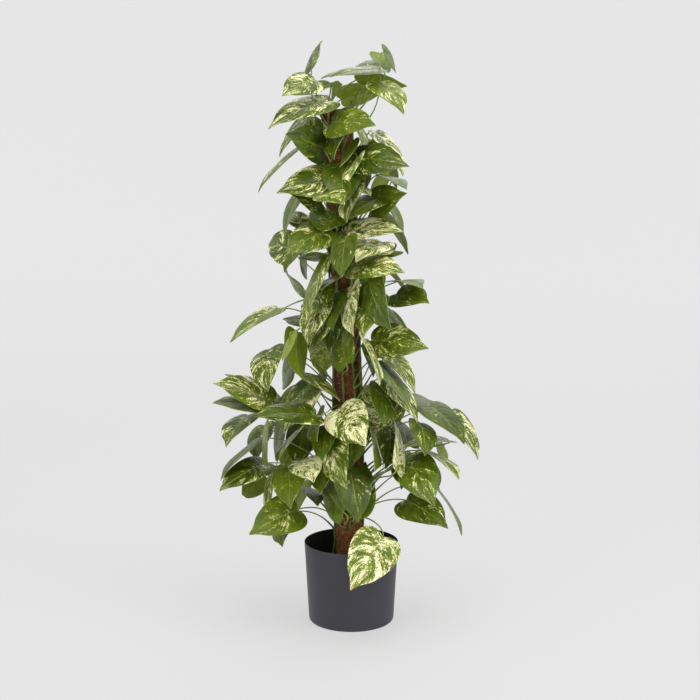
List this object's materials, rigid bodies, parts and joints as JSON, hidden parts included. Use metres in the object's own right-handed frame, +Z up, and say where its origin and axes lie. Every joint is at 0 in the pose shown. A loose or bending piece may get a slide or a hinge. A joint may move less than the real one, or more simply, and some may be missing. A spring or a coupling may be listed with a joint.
{
  "type": "potted climbing pothos on a coir pole",
  "caption": "Cream-and-green marbled pothos with heart-shaped leaves climbing a coir pole, standing in a plain dark round pot.",
  "frame": {"origin": "centre of the pot's flat base", "axes": "+Z up, -Y towards the viewer of the picture"},
  "size_m": [0.4936, 0.4131, 1.096],
  "materials": {
    "pot_plastic": "matt black plastic",
    "potting_mix": "dark weighted potting fill",
    "pole_wood": "plain wooden stake",
    "coir": "matted coconut fibre",
    "leaf": "waxy green leaf marbled with cream"
  },
  "bodies": {
    "root": {"pot": "pot_plastic", "potting_fill": "potting_mix", "pole_core": "pole_wood", "coir_sleeve": "coir", "vine_front_right": "leaf", "vine_right": "leaf", "vine_right_back": "leaf", "vine_back_right": "leaf", "vine_back_left": "leaf", "vine_left_back": "leaf", "vine_left": "leaf", "vine_front_left": "leaf"}
  },
  "joints": []
}
